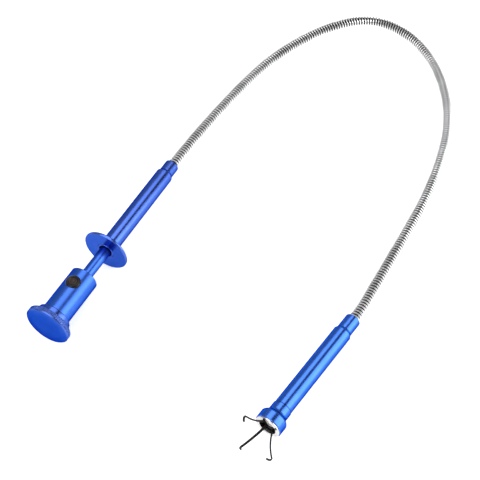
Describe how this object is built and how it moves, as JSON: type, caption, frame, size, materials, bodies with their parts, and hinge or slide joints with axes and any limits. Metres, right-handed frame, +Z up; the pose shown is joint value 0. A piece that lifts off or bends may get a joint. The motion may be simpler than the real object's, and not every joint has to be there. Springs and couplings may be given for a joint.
{
  "type": "magnetic pickup tool",
  "caption": "Flexible gooseneck pickup tool: thumb plunger handle with lamp switch, ring magnet head and spring claws that open as they are pushed out.",
  "frame": {"origin": "centre of the thumb knob's end face, on the handle's axis", "axes": "+Y along the handle from the knob towards the flexible shaft, +Z up through the lamp button, +X towards the side that the shaft bends to; the centreline of the whole tool lies in z = 0"},
  "size_m": [0.1618, 0.3267, 0.0276],
  "materials": {
    "blue_anodised": "blue anodised, satin turned finish",
    "gooseneck_steel": "bright drawn spring wire",
    "nickel": "bright nickel plating over the ring magnet",
    "claw_steel": "black oxide spring steel",
    "carrier_steel": "dark turned steel",
    "spring_steel": "drawn wire",
    "brass": "turned brass",
    "cell_steel": "nickel plated cans",
    "black_plastic": "moulded",
    "button_plastic": "gloss moulded",
    "white_plastic": "moulded",
    "cable_jacket": "extruded jacket",
    "seal_rubber": "moulded ring",
    "led_epoxy": "clear epoxy lens"
  },
  "bodies": {
    "grip": {"grip_tube": "blue_anodised", "finger_flange": "blue_anodised", "rod_bush": "brass", "return_spring": "spring_steel", "rear_ferrule": "spring_steel", "gooseneck_1": "gooseneck_steel", "control_cable_1": "cable_jacket"},
    "plunger": {"switch_barrel": "blue_anodised", "switch_module": "black_plastic", "battery_sleeve": "black_plastic", "button_cell_1": "cell_steel", "button_cell_2": "cell_steel", "button_cell_3": "cell_steel", "front_contact": "brass", "plunger_rod": "blue_anodised", "rod_collar": "brass", "cable_clamp": "brass", "control_cable_rod": "cable_jacket", "cap_seal": "seal_rubber"},
    "cap": {"end_cap": "blue_anodised", "cap_spring": "spring_steel"},
    "button": {"switch_button": "button_plastic"},
    "shaft_2": {"gooseneck_2": "gooseneck_steel", "control_cable_2": "cable_jacket"},
    "shaft_3": {"gooseneck_3": "gooseneck_steel", "control_cable_3": "cable_jacket"},
    "shaft_4": {"gooseneck_4": "gooseneck_steel", "control_cable_4": "cable_jacket"},
    "shaft_5": {"gooseneck_5": "gooseneck_steel", "control_cable_5": "cable_jacket"},
    "shaft_6": {"gooseneck_6": "gooseneck_steel", "control_cable_6": "cable_jacket"},
    "shaft_7": {"gooseneck_7": "gooseneck_steel", "control_cable_7": "cable_jacket"},
    "shaft_8": {"gooseneck_8": "gooseneck_steel", "control_cable_8": "cable_jacket"},
    "shaft_9": {"gooseneck_9": "gooseneck_steel", "control_cable_9": "cable_jacket"},
    "head": {"gooseneck_10": "gooseneck_steel", "control_cable_10": "cable_jacket", "head_tube": "blue_anodised", "head_bell": "blue_anodised", "magnet_ring": "nickel", "front_ferrule": "spring_steel"},
    "carrier": {"claw_carrier": "carrier_steel", "led_lamp": "led_epoxy", "led_holder": "white_plastic", "control_cable_carrier": "cable_jacket"},
    "claw_1": {"claw_1": "claw_steel"},
    "claw_2": {"claw_2": "claw_steel"},
    "claw_3": {"claw_3": "claw_steel"}
  },
  "joints": [
    {"name": "plunger_push", "type": "slide", "parent": "grip", "child": "plunger", "axis": [0, 1, 0], "range_m": [-0.016, 0], "stiffness_N_per_m": 400, "springref_m": -0.024, "deforming": ["return_spring"]},
    {"name": "cap_unscrew", "type": "slide", "parent": "plunger", "child": "cap", "axis": [0, -1, 0], "range_m": [0, 0.012]},
    {"name": "button_press", "type": "slide", "parent": "plunger", "child": "button", "axis": [0, 0, -1], "range_m": [0, 0.0008], "stiffness_N_per_m": 300, "springref_m": -0.0015},
    {"name": "shaft_bend_1", "type": "hinge", "parent": "grip", "child": "shaft_2", "pos_m": [0.00592, 0.22284, 0], "axis": [0, 0, 1], "range_deg": [-3, 13]},
    {"name": "shaft_bend_2", "type": "hinge", "parent": "shaft_2", "child": "shaft_3", "pos_m": [0.02174, 0.27526, 0], "axis": [0, 0, 1], "range_deg": [-3, 18]},
    {"name": "shaft_bend_3", "type": "hinge", "parent": "shaft_3", "child": "shaft_4", "pos_m": [0.03756, 0.29824, 0], "axis": [0, 0, 1], "range_deg": [-3, 20]},
    {"name": "shaft_bend_4", "type": "hinge", "parent": "shaft_4", "child": "shaft_5", "pos_m": [0.04969, 0.30689, 0], "axis": [0, 0, 1], "range_deg": [0, 26]},
    {"name": "shaft_bend_5", "type": "hinge", "parent": "shaft_5", "child": "shaft_6", "pos_m": [0.06473, 0.3093, 0], "axis": [0, 0, 1], "range_deg": [0, 30]},
    {"name": "shaft_bend_6", "type": "hinge", "parent": "shaft_6", "child": "shaft_7", "pos_m": [0.09066, 0.29958, 0], "axis": [0, 0, 1], "range_deg": [0, 24]},
    {"name": "shaft_bend_7", "type": "hinge", "parent": "shaft_7", "child": "shaft_8", "pos_m": [0.11351, 0.27736, 0], "axis": [0, 0, 1], "range_deg": [-3, 21]},
    {"name": "shaft_bend_8", "type": "hinge", "parent": "shaft_8", "child": "shaft_9", "pos_m": [0.13742, 0.22501, 0], "axis": [0, 0, 1], "range_deg": [-3, 18]},
    {"name": "shaft_bend_9", "type": "hinge", "parent": "shaft_9", "child": "head", "pos_m": [0.14415, 0.16549, 0], "axis": [0, 0, 1], "range_deg": [-3, 10]},
    {"name": "claw_feed", "type": "slide", "parent": "head", "child": "carrier", "axis": [-0.1201, -0.9928, 0], "range_m": [-0.016, 0]},
    {"name": "claw_1_spread", "type": "hinge", "parent": "carrier", "child": "claw_1", "pos_m": [0.13713, 0.00504, -0.00022], "axis": [0.0727, -0.0088, 0.9973], "range_deg": [-32, 0]},
    {"name": "claw_2_spread", "type": "hinge", "parent": "carrier", "child": "claw_2", "pos_m": [0.13286, 0.00555, 0.0027], "axis": [-0.8938, 0.1082, -0.4352], "range_deg": [-32, 0]},
    {"name": "claw_3_spread", "type": "hinge", "parent": "carrier", "child": "claw_3", "pos_m": [0.13248, 0.0056, -0.00248], "axis": [0.8211, -0.0994, -0.5621], "range_deg": [-32, 0]}
  ],
  "couplings": [
    {"joint": "claw_feed", "follows": "plunger_push", "ratio": 1},
    {"joint": "claw_1_spread", "follows": "plunger_push", "rad_per_m": 34.906},
    {"joint": "claw_2_spread", "follows": "plunger_push", "rad_per_m": 34.906},
    {"joint": "claw_3_spread", "follows": "plunger_push", "rad_per_m": 34.906}
  ]
}
